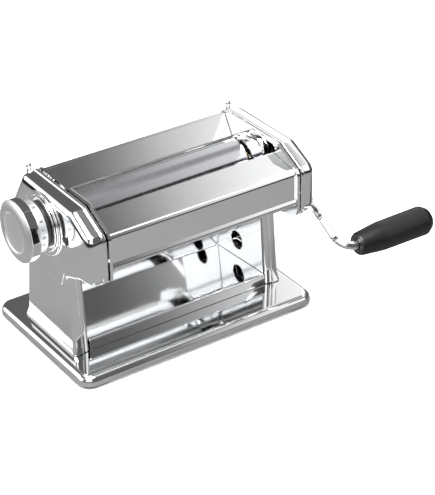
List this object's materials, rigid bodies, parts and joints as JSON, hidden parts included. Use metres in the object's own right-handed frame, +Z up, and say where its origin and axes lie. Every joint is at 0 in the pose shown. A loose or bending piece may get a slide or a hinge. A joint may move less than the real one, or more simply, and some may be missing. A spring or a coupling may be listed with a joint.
{
  "type": "pasta roller machine",
  "caption": "Hand-cranked chrome roller machine that presses dough into thin sheets, with a setting knob on one end and a crank with a black grip on the other.",
  "frame": {"origin": "centre of the underside of the box around the whole machine, on the surface that it stands on", "axes": "+X along the rollers towards the crank, +Y to the back, +Z up"},
  "size_m": [0.3258, 0.1892, 0.1527],
  "materials": {
    "chrome": "mirror-polished chrome plate",
    "knob_chrome": "polished chrome with flat grip facets",
    "steel": "plain machined steel",
    "roller_metal": "ground and polished, satin sheen",
    "satin_aluminium": "satin",
    "brass": "sintered",
    "nylon": "matt",
    "grip_plastic": "semi-gloss",
    "black_plastic": "matt",
    "rubber": "matt"
  },
  "bodies": {
    "frame": {"base_plate": "chrome", "foot_front_left": "rubber", "foot_front_right": "rubber", "foot_rear_left": "rubber", "foot_rear_right": "rubber", "leg_outer_left": "chrome", "leg_outer_right": "chrome", "leg_inner_left": "chrome", "leg_inner_right": "chrome", "leg_tray": "chrome", "back_panel": "chrome", "side_plate_left": "chrome", "side_plate_right": "chrome", "cover_left": "chrome", "cover_right": "chrome", "side_bracket_left": "steel", "side_bracket_right": "steel", "accessory_pin_left": "chrome", "accessory_pin_right": "chrome", "dough_guide_left": "chrome", "dough_guide_right": "chrome", "bearing_housing_left": "chrome", "bearing_housing_right": "chrome", "drive_bush_left": "brass", "drive_bush_right": "brass", "tie_rod_front": "steel", "tie_rod_rear": "steel", "front_panel": "chrome", "rear_panel": "chrome", "scraper_rear": "nylon", "scraper_rod_rear": "steel", "drive_collar": "chrome", "hub_plate": "chrome", "dial_plate": "chrome", "detent_ring": "black_plastic", "setting_pointer": "black_plastic"},
    "drive_roller_set": {"drive_roller": "roller_metal", "drive_gear": "steel"},
    "crank": {"crank_arm": "chrome", "crank_cross_pin": "steel"},
    "grip": {"crank_grip": "grip_plastic"},
    "carriage": {"roller_link_left": "steel", "roller_link_right": "steel", "link_bar": "steel", "adjust_bush_left": "brass", "adjust_bush_right": "brass", "cam_follower": "steel", "scraper_front": "nylon", "link_spring_left": "steel", "link_spring_right": "steel"},
    "adjust_roller_set": {"adjust_roller": "roller_metal", "adjust_gear": "steel"},
    "regulator": {"regulator_shaft": "steel", "cam_disc": "steel", "shaft_clip": "steel"},
    "knob": {"knob_body": "knob_chrome", "number_ring": "satin_aluminium", "knob_cap": "satin_aluminium", "knob_spring": "steel", "detent_pin": "steel"}
  },
  "joints": [
    {"name": "crank_turn", "type": "hinge", "parent": "frame", "child": "drive_roller_set", "pos_m": [-0.03365, 0.01213, 0.1205], "axis": [1, 0, 0], "continuous": true},
    {"name": "crank_pull", "type": "slide", "parent": "drive_roller_set", "child": "crank", "axis": [1, 0, 0], "range_m": [0, 0.022]},
    {"name": "grip_spin", "type": "hinge", "parent": "crank", "child": "grip", "pos_m": [0.09095, -0.08233, 0.06814], "axis": [1, 0, 0], "continuous": true},
    {"name": "regulator_turn", "type": "hinge", "parent": "frame", "child": "regulator", "pos_m": [-0.13335, 0.01213, 0.1205], "axis": [-1, 0, 0], "range_deg": [0, 324]},
    {"name": "knob_pull", "type": "slide", "parent": "regulator", "child": "knob", "axis": [-1, 0, 0], "range_m": [0, 0.004], "stiffness_N_per_m": 900, "springref_m": -0.003},
    {"name": "roller_gap", "type": "slide", "parent": "frame", "child": "carriage", "axis": [0, 0.9703, 0.2419], "range_m": [0, 0.00421]},
    {"name": "adjust_roller_spin", "type": "hinge", "parent": "carriage", "child": "adjust_roller_set", "pos_m": [-0.03365, -0.02552, 0.11111], "axis": [1, 0, 0], "continuous": true}
  ],
  "couplings": [
    {"joint": "roller_gap", "follows": "regulator_turn", "m_per_rad": 0.00074272},
    {"joint": "adjust_roller_spin", "follows": "crank_turn", "ratio": -1}
  ]
}
